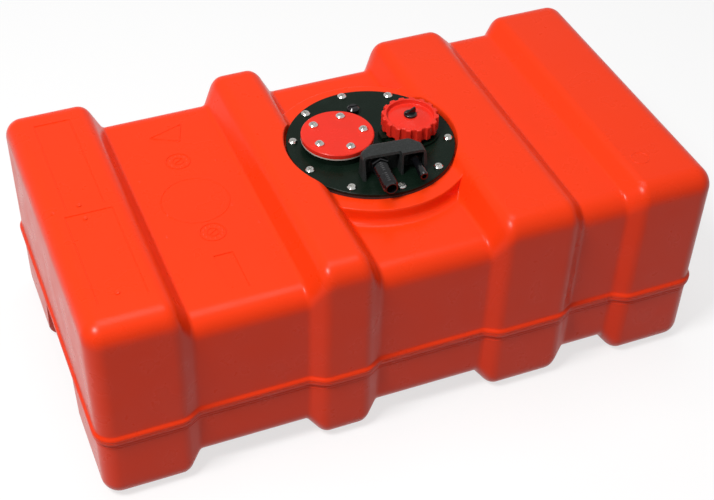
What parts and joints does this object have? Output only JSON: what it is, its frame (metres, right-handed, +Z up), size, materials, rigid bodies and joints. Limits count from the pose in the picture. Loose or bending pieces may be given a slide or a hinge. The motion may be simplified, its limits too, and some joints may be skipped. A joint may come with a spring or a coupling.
{
  "type": "outboard fuel tank",
  "caption": "Ribbed red plastic fuel tank for an outboard motor, with a round black flange plate that carries a filler cap, a blanked sender port and two hose tails",
  "frame": {"origin": "on the ground under the middle of the tank", "axes": "+X along the tank's length, -Y towards the hose tails, +Z up"},
  "size_m": [0.6556, 0.3556, 0.2546],
  "materials": {
    "red_shell": "satin moulded polyethylene",
    "red_trim": "smooth moulded plastic",
    "black_plastic": "satin moulded",
    "grained_plastic": "fine grained",
    "glossy_black": "glossy moulded",
    "seal_rubber": "plain",
    "pale_gasket": "plain",
    "stainless": "turned",
    "brass": "turned",
    "tube_plastic": "extruded"
  },
  "bodies": {
    "tank": {"upper_shell": "red_shell", "lower_shell": "red_shell", "flange_screws": "stainless", "flange_inserts": "brass", "flange_gasket": "seal_rubber", "flange_plate": "black_plastic", "sender_screws": "stainless", "sender_inserts": "brass", "sender_gasket": "pale_gasket", "sender_cover": "red_trim", "fitting_housing": "grained_plastic", "housing_seals": "seal_rubber", "housing_screws": "stainless", "vent_barb": "glossy_black", "vent_barb_washer": "seal_rubber", "fuel_barb": "glossy_black", "fuel_barb_nut": "glossy_black", "fuel_barb_washer": "seal_rubber", "pickup_tube": "tube_plastic", "pickup_strainer": "tube_plastic", "return_plug": "glossy_black", "plug_seal": "seal_rubber"},
    "cap_lift": {"cap_gasket": "seal_rubber"},
    "cap": {"filler_cap": "red_trim"},
    "vent": {"vent_screw": "glossy_black", "vent_seal": "seal_rubber"}
  },
  "joints": [
    {"name": "cap_rise", "type": "slide", "parent": "tank", "child": "cap_lift", "axis": [0, 0, 1], "range_m": [0, 0.0075]},
    {"name": "cap_turn", "type": "hinge", "parent": "cap_lift", "child": "cap", "pos_m": [0.0657, 0.00697, 0.231], "axis": [0, 0, 1], "range_deg": [0, 540]},
    {"name": "vent_turn", "type": "hinge", "parent": "cap", "child": "vent", "pos_m": [0.0657, 0.00697, 0.2465], "axis": [0, 0, 1], "range_deg": [0, 1080]}
  ],
  "couplings": [
    {"joint": "cap_rise", "follows": "cap_turn", "m_per_rad": 0.00079577}
  ]
}
